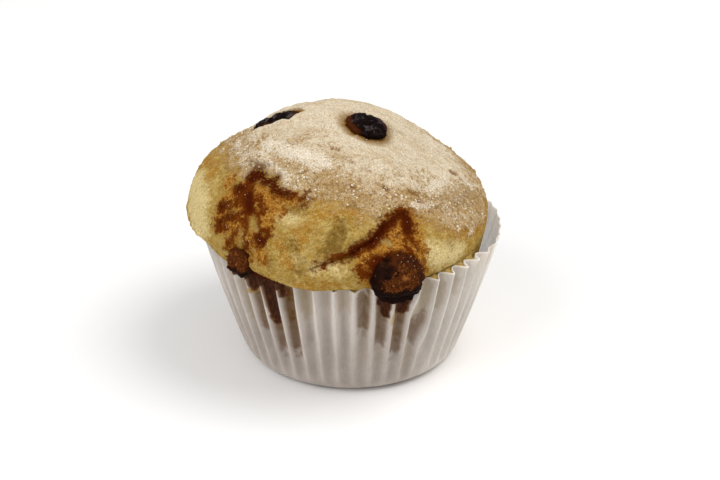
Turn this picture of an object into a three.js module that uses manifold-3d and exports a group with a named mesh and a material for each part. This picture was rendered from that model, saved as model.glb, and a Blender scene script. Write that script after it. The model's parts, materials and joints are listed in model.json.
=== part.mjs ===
// A berry muffin baked in a pleated paper case.
// Millimetres, +Z up. The origin is the centre of the case's flat underside.
// Azimuth 0 is the front, -Y, and positive azimuths turn towards +X.
import * as THREE from "three";
import { mergeVertices } from "three/addons/utils/BufferGeometryUtils.js";
import Module from "manifold-3d";

const wasm = await Module();
wasm.setup();

// ---- driving dimensions ----

const GAP = 0.3; // clearance between pieces that touch

// Paper case: a flat disc of paper gathered into even pleats round a flat base.
const BASE_RADIUS = 25; // where the wall's line meets the table
const CASE_HEIGHT = 31.5;
const RIM_RADIUS = 34.8; // over the outer folds
const WALL_BOW = 0.35; // how far the wall bows outwards at mid height
const CORNER_RADIUS = 3.6; // between the base and the wall
const CORNER_TOP = 2.2; // height where the corner meets the wall
const WALL_SHARES = [0.22, 0.45, 0.72, 1]; // of the case's height, where its wall has an edge
const PLEATS = 48;
const PAPER = 0.4; // thickness of the paper, measured radially
const STEPS_PER_PLEAT = 2;

// Muffin: a frustum that fills the case, and a dome of level rings above the rim.
const DOME_RINGS = [
  // height, radius, sideways shift of the ring's centre
  [32.0, 33.2, -2.9],
  [34.5, 34.8, -3.2],
  [38.5, 33.9, -3.3],
  [42.5, 31.3, -4.4],
  [46.5, 27.2, -4.8],
  [50.0, 22.7, -4.4],
  [53.0, 18.5, -4.1],
  [56.0, 13.2, -4.0],
  [58.2, 6.5, -3.8],
  [59.0, 0, -3.6],
];
const DOME_STEPS = 18;
const MUFFIN_SEGMENTS = 60;

// Batter that ran over the rim at the front left and set there as a lip.
const LIP = { azimuth: -17, halfWidth: 17, reach: 1.7, top: 38 };

// Berries: azimuth, distance from the axis and height of the centre, how far the berry leans back from
// facing outwards, its roll, and its half width, half height and half depth as seen from outside.
const berryAt = (azimuth, radius, height, lean, roll, half) => ({
  azimuth,
  radius,
  height,
  lean,
  roll,
  half,
});
const BERRIES = {
  berry_crown: berryAt(35, 5.8, 57.1, 80, 65, [5.3, 4.0, 2.5]),
  berry_sunk: berryAt(-98, 16.7, 54.8, 67, 0, [2.7, 6.5, 2.4]),
  berry_rim_right: berryAt(17, 34.0, 33.8, 8, 0, [6.3, 5.6, 3.2]),
  berry_rim_left: berryAt(-43, 35.6, 34.3, 5, -12, [3.4, 3.7, 2.4]),
  berry_back_high: berryAt(166, 25.3, 45.4, 45, 25, [4.6, 4.0, 2.8]),
  berry_back_low: berryAt(-136, 34.4, 36.2, 6, 10, [4.4, 4.2, 2.6]),
};
const BERRY_SIDES = 18;

const degrees = THREE.MathUtils.degToRad;
const smoothstep = THREE.MathUtils.smoothstep;

// ---- small tools ----

/** A closed surface of revolution about Z from (radius, height) points that run from axis to axis. */
function lathe(profile, segments) {
  return new THREE.LatheGeometry(profile, segments).rotateX(Math.PI / 2);
}

/** Moves every vertex of a geometry with a function of its position and its number. */
function reshape(geometry, move) {
  const position = geometry.getAttribute("position");
  const point = new THREE.Vector3();
  for (let i = 0; i < position.count; i++) {
    point.fromBufferAttribute(position, i);
    move(point, i);
    position.setXYZ(i, point.x, point.y, point.z);
  }
  return geometry;
}

/** A geometry as a manifold-3d solid. */
function solidOf(geometry) {
  const bare = geometry.clone();
  bare.deleteAttribute("normal");
  bare.deleteAttribute("uv");
  const merged = mergeVertices(bare, 1e-3);
  return new wasm.Manifold(
    new wasm.Mesh({
      numProp: 3,
      vertProperties: merged.getAttribute("position").array,
      triVerts: new Uint32Array(merged.index.array),
    }),
  );
}

/** A manifold-3d solid as a geometry. */
function geometryOf(solid) {
  const mesh = solid.getMesh();
  const geometry = new THREE.BufferGeometry();
  geometry.setAttribute("position", new THREE.BufferAttribute(mesh.vertProperties, 3));
  geometry.setIndex(new THREE.BufferAttribute(mesh.triVerts, 1));
  geometry.computeVertexNormals();
  return geometry;
}

/** A named mesh with its own material. */
function piece(name, geometry, color, roughness) {
  const material = new THREE.MeshStandardMaterial({ color, roughness, metalness: 0 });
  const mesh = new THREE.Mesh(geometry, material);
  mesh.name = name;
  return mesh;
}

/** How far round from the front a point is, in radians. */
const azimuthOf = (point) => Math.atan2(point.x, -point.y);

// ---- paper case ----

/** Radius over the outer folds at a height. */
function foldRadius(height) {
  const share = height / CASE_HEIGHT;
  return BASE_RADIUS + (RIM_RADIUS - BASE_RADIUS) * share + 4 * WALL_BOW * share * (1 - share);
}

/** Depth of the folds, which take in the flat disc's spare width at a height. */
function foldDepth(height) {
  const radius = foldRadius(height);
  const flatRadius = BASE_RADIUS + Math.hypot(height, radius - BASE_RADIUS);
  const spare = Math.sqrt((flatRadius / radius) ** 2 - 1);
  return ((Math.PI * radius) / PLEATS) * spare;
}

/** Radius over the inner folds, which the crumb lies against. */
const innerFoldRadius = (height) => foldRadius(height) - foldDepth(height);

/** The wall from the edge of the flat base to the rim: (radius, height) points over the outer folds. */
function wallLine() {
  const corner = new THREE.QuadraticBezierCurve(
    new THREE.Vector2(foldRadius(CORNER_TOP) - CORNER_RADIUS, 0),
    new THREE.Vector2(BASE_RADIUS, 0),
    new THREE.Vector2(foldRadius(CORNER_TOP), CORNER_TOP),
  );
  const heights = WALL_SHARES.map((share) => share * CASE_HEIGHT);
  return [...corner.getPoints(2), ...heights.map((h) => new THREE.Vector2(foldRadius(h), h))];
}

function paperCase() {
  const outside = wallLine();
  const inside = outside.map((p) => new THREE.Vector2(p.x - PAPER, Math.max(p.y, PAPER)));
  const underside = new THREE.Vector2(0, 0);
  const profile = [underside, ...outside, ...inside.reverse(), new THREE.Vector2(0, PAPER)];
  const pleat = (point) => {
    const fold = Math.abs(Math.sin((azimuthOf(point) * PLEATS) / 2));
    const radius = Math.hypot(point.x, point.y);
    const start = smoothstep(point.z, 0, CORNER_RADIUS);
    const share = radius > 1 ? (radius - fold * start * foldDepth(point.z)) / radius : 1;
    point.set(point.x * share, point.y * share, point.z);
  };
  return reshape(lathe(profile, PLEATS * STEPS_PER_PLEAT), pleat);
}

// ---- muffin ----

/** Level rings of the muffin from the middle of its underside up, as (radius, height, shift) points. */
function muffinRings() {
  const floor = PAPER + GAP;
  const inCase = (height) => new THREE.Vector3(innerFoldRadius(height) - PAPER - GAP, height, 0);
  const foot = inCase(0).setX(inCase(0).x - CORNER_RADIUS).setZ(0);
  const underside = [new THREE.Vector3(0, floor, 0), foot.setY(floor)];
  const wall = [CORNER_RADIUS, ...WALL_SHARES.slice(1).map((share) => share * CASE_HEIGHT)].map(inCase);
  const marks = DOME_RINGS.map(([height, radius, shift]) => new THREE.Vector3(radius, height, shift));
  const dome = new THREE.CatmullRomCurve3(marks);
  return [...underside, ...wall, ...dome.getPoints(DOME_STEPS)];
}

/** How far the lip stands out over the dome at a point. */
function lipReach(point) {
  if (point.z <= CASE_HEIGHT) return 0;
  const away = Math.abs(azimuthOf(point) - degrees(LIP.azimuth));
  const across = 1 - smoothstep(away, 0, degrees(LIP.halfWidth));
  return LIP.reach * across * (1 - smoothstep(point.z, CASE_HEIGHT + GAP, LIP.top));
}

/** A berry's solid in its place, grown by a clearance. */
function berrySolid({ azimuth, radius, height, lean, roll, half }, clearance) {
  const [width, tall, depth] = half.map((size) => size + clearance);
  const ball = new THREE.SphereGeometry(1, BERRY_SIDES, BERRY_SIDES / 2)
    .scale(width, depth, tall)
    .rotateY(degrees(roll))
    .rotateX(degrees(-lean))
    .translate(0, -radius, height)
    .rotateZ(degrees(azimuth));
  return solidOf(ball);
}

/** The room that the paper case takes, with a clearance over its rim and its outer folds. */
function caseRoom() {
  const heights = [0, ...WALL_SHARES].map((share) => share * CASE_HEIGHT);
  const profile = heights.map((height) => new THREE.Vector2(foldRadius(height) + GAP, height));
  const top = CASE_HEIGHT + GAP;
  profile.push(new THREE.Vector2(profile.at(-1).x, top), new THREE.Vector2(0, top));
  return solidOf(lathe([new THREE.Vector2(0, 0), ...profile], PLEATS * STEPS_PER_PLEAT));
}

function berry(name) {
  return geometryOf(berrySolid(BERRIES[name], 0).subtract(caseRoom()));
}

/** The whole bake: it fills the case, its dome leans over the rim, and each berry has its hollow. */
function muffin() {
  const rings = muffinRings();
  const whole = reshape(lathe(rings, MUFFIN_SEGMENTS), (point, index) => {
    const lip = lipReach(point);
    const azimuth = azimuthOf(point);
    point.x += rings[index % rings.length].z + lip * Math.sin(azimuth);
    point.y -= lip * Math.cos(azimuth);
  });
  const hollows = Object.values(BERRIES).map((place) => berrySolid(place, GAP));
  return geometryOf(hollows.reduce((solid, hollow) => solid.subtract(hollow), solidOf(whole)));
}

// ---- assembly ----

const object = new THREE.Group();
object.add(piece("paper_case", paperCase(), 0xe9e4da, 0.85));
object.add(piece("muffin", muffin(), 0xd9b679, 0.9));
for (const name of Object.keys(BERRIES)) object.add(piece(name, berry(name), 0x1d1420, 0.35));

export default object;
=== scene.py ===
"""A berry muffin in its pleated paper case, modelled round the packed frame.

Sizes and places in the settings are in metres, as Blender's are; the lists of places use degrees
round from the front (-Y), positive towards +X, and millimetres above the table.
"""

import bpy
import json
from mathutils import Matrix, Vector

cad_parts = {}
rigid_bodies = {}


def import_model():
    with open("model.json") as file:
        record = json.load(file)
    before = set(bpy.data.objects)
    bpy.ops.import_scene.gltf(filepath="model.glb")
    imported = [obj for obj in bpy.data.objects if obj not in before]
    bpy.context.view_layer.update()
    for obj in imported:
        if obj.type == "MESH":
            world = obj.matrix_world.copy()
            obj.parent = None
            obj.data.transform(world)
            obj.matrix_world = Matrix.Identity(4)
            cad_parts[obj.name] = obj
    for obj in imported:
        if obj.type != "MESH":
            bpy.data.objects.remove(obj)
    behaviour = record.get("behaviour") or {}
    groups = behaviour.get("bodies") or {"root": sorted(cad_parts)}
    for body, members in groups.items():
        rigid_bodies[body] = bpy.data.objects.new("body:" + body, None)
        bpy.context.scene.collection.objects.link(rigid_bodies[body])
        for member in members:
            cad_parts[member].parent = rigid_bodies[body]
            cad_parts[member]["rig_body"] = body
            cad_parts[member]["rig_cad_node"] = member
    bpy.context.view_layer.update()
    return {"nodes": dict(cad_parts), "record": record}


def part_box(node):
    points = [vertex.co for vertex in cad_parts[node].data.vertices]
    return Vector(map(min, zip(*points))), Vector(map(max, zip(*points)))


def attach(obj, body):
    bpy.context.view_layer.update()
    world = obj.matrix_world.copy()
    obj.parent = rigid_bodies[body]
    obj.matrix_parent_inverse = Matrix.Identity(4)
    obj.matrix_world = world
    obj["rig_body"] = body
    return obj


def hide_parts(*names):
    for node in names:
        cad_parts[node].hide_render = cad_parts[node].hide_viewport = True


bl_info = {
    "name": "Berry muffin in a paper case",
    "version": (1, 0, 0),
    "blender": (4, 5, 0),
    "location": "View3D > Sidebar > Muffin",
    "description": "Adds a baked berry muffin, its pleated paper case and a plain studio",
    "category": "Add Mesh",
}

import json
import math
from contextlib import contextmanager

import bmesh
import bpy
import numpy as np
from bpy.props import FloatProperty, FloatVectorProperty, IntProperty, PointerProperty
from mathutils import Matrix, Vector, noise
from mathutils.bvhtree import BVHTree

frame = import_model()

MM = 0.001
CASE_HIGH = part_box("paper_case")[1]

# ---------------------------------------------------------------------------
# Places on the bake
# ---------------------------------------------------------------------------

# Lower edge of the floury crust: (azimuth, height).
CRUST_EDGE = [
    (-180, 43), (-155, 46), (-128, 43.5), (-102, 46), (-76, 48.5), (-60, 48.6), (-52, 50.8),
    (-43, 50.8), (-31, 49.2), (-23, 48.4), (-14, 49), (0, 47.7), (6, 46), (12, 44.3), (20, 45.5),
    (29, 44.6), (36, 42.8), (47, 39.8), (58, 36.6), (77, 36.2), (100, 38), (125, 42.5), (150, 40),
]

# Where the batter leaves the paper: (azimuth, height).
OVER_EDGE = [
    (-180, 31.5), (-110, 31.5), (-90, 31.8), (-70, 32.8), (-52, 33.6), (-45, 33.5), (-38, 33.1),
    (-30, 32.5), (-21, 31.8), (-10, 31.6), (0, 31.5), (150, 31.5),
]

# Swellings and hollows of the bake: a line of (azimuth, height, reach) marks and its rise.
LOBES = [
    ([(-27, 44.5, 5.0), (-14, 44.0, 5.5), (4, 43.5, 3.5)], 0.8),
    ([(-25, 37.0, 4.0), (-12, 35.6, 4.0), (-3, 36.0, 3.5)], 0.6),
    ([(-85, 42.0, 5.0), (-70, 38.5, 5.5)], 0.5),
    ([(-5.5, 43.4, 1.6), (-7, 41.5, 1.8), (-9, 40.0, 1.4)], -0.5),
    ([(60, 43.2, 0.9), (70, 42.9, 1.1), (79, 42.2, 0.9)], 0.5),
    ([(-64, 52.1, 1.2), (-58, 52.5, 1.4), (-52, 52.6, 1.0)], 1.1),
    ([(30, 55.2, 2.4), (52, 54.9, 2.4)], -0.5),
    ([(-91, 51.0, 1.4), (-86, 54.0, 1.5), (-82, 56.6, 1.2)], 0.95),
    ([(62, 51.0, 7.0), (85, 51.0, 7.0), (110, 51.0, 7.0)], -1.2),
    ([(-120, 50.0, 7.0), (-95, 49.5, 6.5), (-80, 50.0, 5.0)], -0.9),
    ([(150, 38.0, 6.0), (172, 40.0, 6.0)], 0.7),
    ([(-150, 40.0, 5.0), (-165, 38.0, 5.0)], 0.6),
    ([(115, 38.0, 5.0), (128, 36.0, 4.0)], 0.6),
]

# Steps in the surface: a line of marks, how far its left side stands up and how deep its groove is,
# which is also painted dark as shade.
FOLDS = [
    ([(-4.5, 45.6, 1.6), (-3, 44.8, 2.0), (-2, 43.6, 2.2), (-2.5, 42.4, 2.0), (-4, 41.2, 1.6)],
     0.9, 0.3),
    ([(13, 43.6, 2.0), (8.5, 41.9, 2.4), (3.5, 41.1, 2.4), (-1, 39.6, 2.4), (-7, 38.9, 2.0),
      (-14, 37.2, 1.6)], -0.5, 0.7),
    ([(-21, 42.3, 1.4), (-20.5, 41.1, 1.8), (-19.5, 40.0, 1.4)], 0.4, 0.1),
    ([(10, 45.7, 1.0), (11.5, 44.8, 1.2), (13, 43.8, 1.0)], 0.3, 0.1),
    ([(50, 47.1, 1.2), (60, 46.6, 1.8), (68, 45.7, 1.4)], 0.35, 0.1),
    ([(60, 43.2, 1.2), (70, 42.9, 1.4), (79, 42.2, 1.2)], 0.3, 0.1),
    ([(85, 40.2, 0.8), (84, 38.7, 1.0), (81, 37.6, 0.8)], 0.4, 1.0),
    ([(-65, 51.6, 1.2), (-58.5, 52.0, 1.5), (-53, 52.2, 1.0)], 0.6, 0.3),
    ([(-24, 50.9, 0.7), (-21, 50.6, 0.7)], 0.4, 0.2),
]

# Juice that boiled out and soaked in, from thin to thick: lines of (azimuth, height, half width).
AMBER = [
    [(-59, 47.0, 1.0), (-58.5, 45.4, 1.5), (-57, 44.2, 1.9), (-55, 42.7, 1.9), (-55.5, 41.0, 1.6),
     (-51, 41.2, 1.5), (-46.5, 42.1, 1.4)],
    [(-55.5, 47.5, 1.9), (-50, 46.4, 2.2), (-47, 45.0, 2.0)],
    [(-48, 48.4, 1.3), (-42, 48.0, 1.7), (-38.5, 46.7, 1.7), (-37, 45.1, 1.3), (-34.5, 43.6, 1.0)],
    [(-37, 47.0, 0.8), (-32, 46.4, 0.7)],
    [(-38, 48.2, 0.8), (-33, 48.7, 0.6), (-28.5, 48.3, 0.4)],
    [(-45.5, 41.0, 1.0), (-47.5, 38.9, 1.1), (-47, 37.5, 1.1), (-44, 37.7, 0.8)],
    [(-40, 41.1, 1.0), (-37.5, 39.8, 1.1), (-35, 38.6, 0.9), (-33, 37.5, 0.6)],
    [(-40.5, 38.9, 1.0), (-39, 37.2, 0.8)],
    [(-67, 48.2, 0.7), (-65.5, 47.3, 0.6)],
    [(23.5, 45.2, 0.5), (21.5, 44.1, 1.4), (19.5, 42.6, 2.9), (18, 41.1, 4.0), (16.5, 39.2, 5.2)],
    [(6, 39.4, 1.4), (5.5, 37.1, 1.3), (7, 34.3, 1.3)],
    [(27, 41.3, 1.4), (27.5, 39.4, 1.5), (27, 37.1, 1.5), (26.5, 34.3, 1.5), (27, 32.2, 1.2)],
    [(28.5, 44.5, 0.7), (29.5, 43.7, 0.5)],
    [(-143, 41.0, 1.2), (-138, 38.6, 3.0), (-136, 35.4, 3.6)],
    [(160, 46.0, 1.6), (169, 45.0, 1.6)],
    [(-148, 37.0, 0.5), (-152, 35.6, 0.6)],
]
BROWN = [
    [(-59, 47.7, 0.8), (-54.5, 47.2, 1.5), (-50.5, 46.7, 1.5), (-47, 45.7, 1.0)],
    [(-55, 49.6, 1.3), (-53.5, 48.4, 1.3)],
    [(-59.5, 43.6, 0.7), (-56.5, 44.7, 0.8), (-52.5, 45.5, 0.8)],
    [(-57.5, 40.1, 0.6), (-55.5, 41.4, 0.7), (-53.5, 42.8, 0.7), (-51, 43.8, 0.7), (-48, 44.5, 0.8),
     (-44, 45.2, 0.8), (-40, 45.7, 0.7)],
    [(-49.5, 43.4, 0.7), (-48, 43.9, 0.5)],
    [(-46, 44.5, 0.5), (-43.5, 42.9, 0.5), (-42, 41.4, 0.5), (-42, 40.1, 0.4)],
    [(-40.5, 45.1, 0.4), (-38, 43.3, 0.5), (-36.5, 42.0, 1.0), (-35, 41.0, 0.9)],
    [(-34.5, 42.6, 0.7), (-33, 41.8, 0.5)],
    [(-41.5, 39.4, 0.5), (-39.5, 38.9, 0.5)],
    [(-47.5, 37.8, 0.6), (-47, 39.7, 0.5), (-46.5, 40.7, 0.4)],
    [(-46, 47.6, 0.5), (-41.5, 46.7, 0.6), (-39.5, 45.9, 0.5)],
    [(-33, 49.1, 0.3), (-29.5, 48.9, 0.3)],
    [(-55.5, 40.0, 0.7), (-51.5, 40.7, 0.5)],
    [(23.5, 45.2, 0.6), (19.5, 44.6, 0.7), (15, 43.8, 0.8), (12, 42.8, 0.8), (8.5, 41.9, 0.9),
     (6, 41.4, 0.8), (3.5, 41.1, 0.6), (1.5, 40.3, 0.6), (-1, 39.6, 0.5), (-3.5, 39.4, 0.4),
     (-6.5, 39.1, 0.35), (-9, 38.3, 0.3), (-12, 37.7, 0.2)],
    [(25, 44.9, 0.8), (26, 43.7, 1.0), (25.5, 42.6, 1.0), (26, 41.5, 1.0), (25.5, 40.7, 0.8)],
    [(23, 39.4, 0.6), (23, 38.0, 0.8), (24, 36.1, 0.9), (25.5, 33.3, 0.8)],
    [(9.5, 38.0, 1.3), (13, 38.1, 1.3), (18, 37.6, 1.5)],
    [(4.5, 36.7, 0.5), (5, 35.3, 0.4)],
    [(-23.5, 48.4, 0.6), (-22.5, 49.1, 0.4)],
    [(-137, 39.8, 1.2), (-134, 38.4, 1.2)],
]
DARK = [
    [(-57, 49.7, 0.7), (-55, 50.5, 0.8), (-51.5, 50.5, 0.6)],
    [(-48, 50.0, 0.7), (-45, 50.3, 0.8), (-43, 51.0, 0.4)],
    [(-42.5, 49.9, 0.6), (-39.5, 49.3, 0.6), (-35.5, 49.1, 0.5), (-32, 49.2, 0.3)],
    [(-59.5, 47.6, 0.5), (-56.5, 47.8, 0.5)],
    [(-50.5, 47.4, 0.7), (-47, 46.3, 0.7), (-45.5, 45.5, 0.5)],
    [(-59, 44.0, 0.4), (-58, 44.4, 0.3)],
    [(-55.5, 41.4, 0.3), (-52.5, 43.2, 0.3)],
    [(-36, 40.9, 0.6), (-34.5, 40.8, 0.4)],
    [(22, 45.0, 0.4), (17.5, 44.4, 0.5), (14.5, 43.8, 0.6), (11.5, 42.7, 0.6), (8.5, 41.7, 0.7),
     (6, 41.5, 0.4)],
    [(2.5, 41.0, 0.35), (0.5, 40.3, 0.35)],
    [(26, 44.7, 0.6), (26.5, 43.8, 0.6), (25.5, 42.7, 0.6)],
    [(10.5, 38.2, 0.8), (12, 36.9, 0.8)],
    [(8.8, 37.3, 0.7), (8.2, 35.4, 0.8), (9, 33.6, 0.6)],
    [(14, 38.2, 0.4), (18, 38.4, 0.5), (22, 37.8, 0.4)],
    [(-51, 32.6, 0.8), (-45, 32.6, 1.0), (-38, 32.3, 0.9), (-31, 32.0, 0.7), (-25, 31.7, 0.3)],
]
BARE = [
    [(12.0, 42.0, 0.4), (14.5, 41.3, 0.6), (16, 40.9, 0.4)],
    [(-42.5, 44.4, 0.6), (-40.5, 43.7, 0.7), (-39.5, 42.7, 0.8)],
    [(-49.5, 39.6, 0.5), (-49, 40.0, 0.4)],
    [(-44, 38.8, 0.8), (-43, 39.6, 0.6)],
    [(-44, 41.5, 0.5), (-44, 40.0, 0.4)],
    [(-38, 38.7, 0.4), (-37, 38.4, 0.4)],
]
# Tints of the crumb: gold is its own colour; the hollows get painted shade and the swellings
# painted light.
GOLD = [
    [(-20.5, 43.6, 1.0), (-18.5, 42.3, 0.9), (-19, 41.2, 0.6)],
    [(-17.5, 44.4, 0.8), (-15.5, 46.1, 0.9), (-11.5, 46.9, 0.9), (-6, 46.6, 1.0), (-0.5, 47.0, 1.1),
     (5, 46.3, 0.8)],
    [(-10, 47.7, 0.4), (-6.5, 47.8, 0.4), (-4.5, 47.5, 0.3)],
    [(-26, 49.0, 0.8), (-20.5, 49.4, 0.8), (-14.5, 48.8, 0.8)],
    [(-27.5, 41.0, 1.0), (-25, 39.3, 1.3), (-22, 37.5, 1.0)],
    [(-18.5, 33.0, 0.6), (-6, 33.4, 0.6)],
    [(44, 40.5, 1.3), (51.5, 38.4, 1.5), (63, 36.0, 1.4), (78, 35.6, 1.4)],
    [(-100, 44.5, 1.6), (-84.5, 46.9, 1.3), (-80, 45.7, 1.0)],
    [(34, 42.6, 1.0), (30.5, 41.9, 0.8)],
    [(140, 41.0, 2.4), (170, 39.0, 2.4)],
    [(-122, 36.0, 1.4), (-112, 35.4, 1.6), (-104, 35.8, 1.2)],
    [(118, 42.0, 1.0), (104, 40.6, 1.2)],
    [(-170, 43.0, 2.4), (-155, 44.0, 2.0)],
]
# Painted shade: darker crumb in the hollows.
SHADED_HOLLOWS = [
    [(-4.5, 44.8, 1.0), (-5.5, 43.2, 1.7), (-7, 41.5, 1.8), (-9, 40.1, 1.4)],
    [(-27.5, 47.4, 1.2), (-23, 47.0, 0.9)],
    [(-22.5, 41.2, 0.8), (-21, 40.6, 0.6)],
    [(-18.5, 37.6, 0.6), (-18.5, 36.1, 0.6)],
    [(-30, 37.9, 0.35), (-29, 37.0, 0.3)],
    [(-160, 37.5, 1.2), (-168, 38.5, 1.0)],
    [(112, 38.0, 1.0), (124, 38.6, 1.4)],
    [(178, 36.5, 0.8), (172, 36.0, 0.9)],
    [(-108, 40.5, 1.0), (-116, 39.6, 1.2)],
    [(44, 37.0, 0.4), (45, 36.6, 0.3)],
]
# Painted light: paler crumb on the swellings and on slopes that get less light.
LIT = [
    [(-85, 42.0, 4.0), (-72, 40.5, 4.5), (-65, 37.5, 3.0)],
    [(-29, 45.8, 1.0), (-23.5, 45.4, 1.0)],
    [(155, 37.0, 2.4), (142, 36.0, 2.0)],
    [(-175, 41.0, 1.2), (-165, 41.6, 1.4)],
    [(98, 35.5, 1.6), (106, 35.8, 1.6)],
    [(-12.5, 37.0, 1.0), (-7.5, 37.9, 1.0), (-4.5, 36.7, 0.8)],
    [(-19.5, 38.7, 0.6), (-19, 38.1, 0.4)],
    [(11, 45.6, 0.5), (12.5, 44.3, 0.4)],
    [(33, 37.4, 2.4), (37, 35.6, 2.6), (48, 34.8, 2.4)],
    [(-6.5, 48.0, 0.5), (-3.5, 48.1, 0.5)],
    [(5.5, 47.2, 0.5), (7, 46.4, 0.4)],
]
# Pits: dented, and darkened inside as painted shade.
PITS = [
    [(79, 45.8, 0.7), (80.5, 45.1, 0.4)],
    [(35, 47.9, 0.4), (38, 47.3, 0.6)],
    [(82, 51.6, 0.4), (88, 51.3, 0.3)],
    [(113.5, 53.5, 0.4), (113.5, 53.2, 0.3)],
    [(-5, 54.6, 0.2), (0.5, 54.1, 0.35)],
    [(8.5, 53.1, 0.35), (13, 52.4, 0.2)],
    [(19.5, 49.5, 0.35), (21.5, 49.1, 0.3)],
    [(-0.5, 50.6, 0.3), (2, 50.3, 0.3)],
    [(31, 45.2, 0.25), (32, 44.9, 0.25)],
    [(40.5, 44.0, 0.3), (42, 44.0, 0.25)],
    [(-12, 55.7, 0.3), (-17.5, 55.9, 0.2)],
    [(-63, 51.2, 0.5), (-58.5, 51.3, 0.75), (-54, 51.7, 0.5)],
    [(-70, 49.8, 0.3), (-67, 50.2, 0.2)],
    [(36.5, 46.0, 0.25), (39.5, 45.5, 0.25)],
    [(-170, 50.0, 0.4), (-168, 49.6, 0.4)],
    [(140, 52.0, 0.4), (143, 51.8, 0.3)],
]
TOAST = [
    [(34, 46.6, 1.4), (50, 44.6, 2.4), (72, 42.0, 3.6)],
    [(46, 49.3, 0.9), (56, 48.4, 1.2)],
    [(-22, 50.8, 0.5), (-8, 50.4, 0.7), (10, 48.2, 0.7), (24, 47.4, 0.6)],
    [(150, 46.0, 3.0), (180, 47.0, 3.0), (-160, 48.0, 3.0)],
]
# Dry flour on the crust; the lines on its left side, where the crust turns away from the light, are
# partly painted light.
FLOUR_AND_LIGHT = [
    [(-76, 52.0, 0.9), (-67.5, 52.4, 1.0), (-61, 52.8, 0.9), (-54, 52.6, 0.6)],
    [(-104, 49.5, 1.0), (-92, 50.2, 1.2), (-80, 51.2, 1.2), (-70, 50.8, 0.8)],
    [(81, 45.9, 0.35), (82, 45.8, 0.3)],
    [(33.5, 45.7, 0.8), (38.5, 45.1, 0.8), (44, 44.8, 0.6)],
    [(77, 42.8, 0.6), (81.5, 42.2, 0.6)],
    [(58, 36.9, 0.5), (59, 36.8, 0.5)],
    [(-150, 50.0, 1.4), (-130, 51.0, 1.2)],
    [(48, 46.9, 0.7), (58, 46.6, 0.9), (68, 46.2, 0.6)],
    [(120, 48.0, 1.4), (105, 49.0, 1.2)],
    [(-33, 50.2, 0.5), (-28, 50.4, 0.5)],
    [(-68, 50.6, 0.6), (-60, 51.6, 0.7), (-48, 52.2, 0.8), (-36, 51.2, 0.7)],
    [(-70, 54.0, 1.4), (-45, 54.6, 2.0), (-18, 54.0, 1.6)],
]

# Juice behind the paper, in one valley between two folds each: azimuth, top, foot and strength.
SOAKED = [
    (-40, 28.0, 14.5, 0.85), (-33, 30.0, 9.5, 0.9), (-25, 30.5, 10.5, 1.0), (5, 30.0, 19.0, 0.8),
    (12, 29.0, 14.0, 0.8), (21, 26.0, 11.5, 0.9), (30, 21.0, 12.5, 0.75), (-137, 31.0, 19.0, 0.9),
    (-129, 30.0, 15.0, 0.7),
]
TINTED = [
    (-48, 27.0, 15.0, 0.7), (-18, 31.0, 22.5, 0.8), (-3, 31.0, 25.0, 0.5), (5, 19.5, 8.0, 0.25),
    (30, 31.0, 21.0, 0.8), (37, 29.0, 21.0, 0.6), (30, 10.5, 6.5, 0.6), (-56, 26.0, 19.0, 0.4),
    (-145, 29.0, 15.0, 0.7), (-122, 30.0, 20.0, 0.5), (12, 13.5, 6.0, 0.25), (45, 28.0, 22.0, 0.4),
]
# Juice that ran down over the paper: lines of (azimuth, height, half width).
SPILT = [
    [(-53, 29.5, 0.9), (-43.5, 31.2, 1.2), (-38, 31.0, 1.3), (-33, 30.9, 1.2), (-28, 30.9, 0.9),
     (-24, 30.8, 0.5)],
    [(-42.5, 30.0, 1.3), (-43, 27.3, 1.1)],
    [(-34.5, 30.1, 1.7), (-34.5, 27.1, 1.6), (-34.5, 23.5, 1.3), (-34, 20.7, 0.9),
     (-33.5, 18.6, 0.6)],
    [(-28.0, 30.5, 1.0), (-28.0, 27.5, 0.8)],
    [(13.5, 27.9, 1.9), (14, 25.2, 1.1), (14.5, 23.4, 0.5)],
    [(21, 27.5, 1.5), (21, 24.3, 1.2)],
    [(-136, 32.0, 2.0), (-135.5, 27.0, 1.4)],
]
SYRUP_EDGES = [
    [(-38, 21.3, 0.5), (-38, 18.9, 0.5), (-38, 17.0, 0.6)],
    [(-45, 26.0, 0.8), (-41, 26.2, 0.7)],
    [(17.0, 23.4, 0.5), (17.0, 21.0, 0.5)],
]

# Berries in the crown: how wide the hollow round each is and how deep, in millimetres.
HOLLOWS = [("crown", 3.0, 0.8), ("sunk", 0.9, 0.55), ("back_high", 1.8, 0.6)]
# Berries at the rim: how far the bake stands out over each, in millimetres.
BULGES = [("rim_right", 1.3), ("rim_left", -0.6), ("back_low", -0.4)]

PLEATS = 48
FIRST_PLEAT = 1.1  # azimuth of the outer fold nearest to the front

# Heights on the bake. It's hidden by the paper up to the first; the others are ramps.
HIDDEN_TOP = 27 * MM
FOLLOWS_FOLDS = (26.8 * MM, 27.6 * MM)
SWELLS = (32.5 * MM, 36 * MM)
ROUGHENS = (32.2 * MM, 34.5 * MM)


# ---------------------------------------------------------------------------
# Settings
# ---------------------------------------------------------------------------


def number(name, description, default, **more):
    return FloatProperty(name=name, description=description, default=default, **more)


def length(name, description, default):
    """A setting in metres, from a default in millimetres."""
    return number(name, description, default * MM, unit="LENGTH")


def colour(name, description, default):
    return FloatVectorProperty(name=name, description=description, default=default, subtype="COLOR")


def count(name, description, default):
    return IntProperty(name=name, description=description, default=default)


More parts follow.
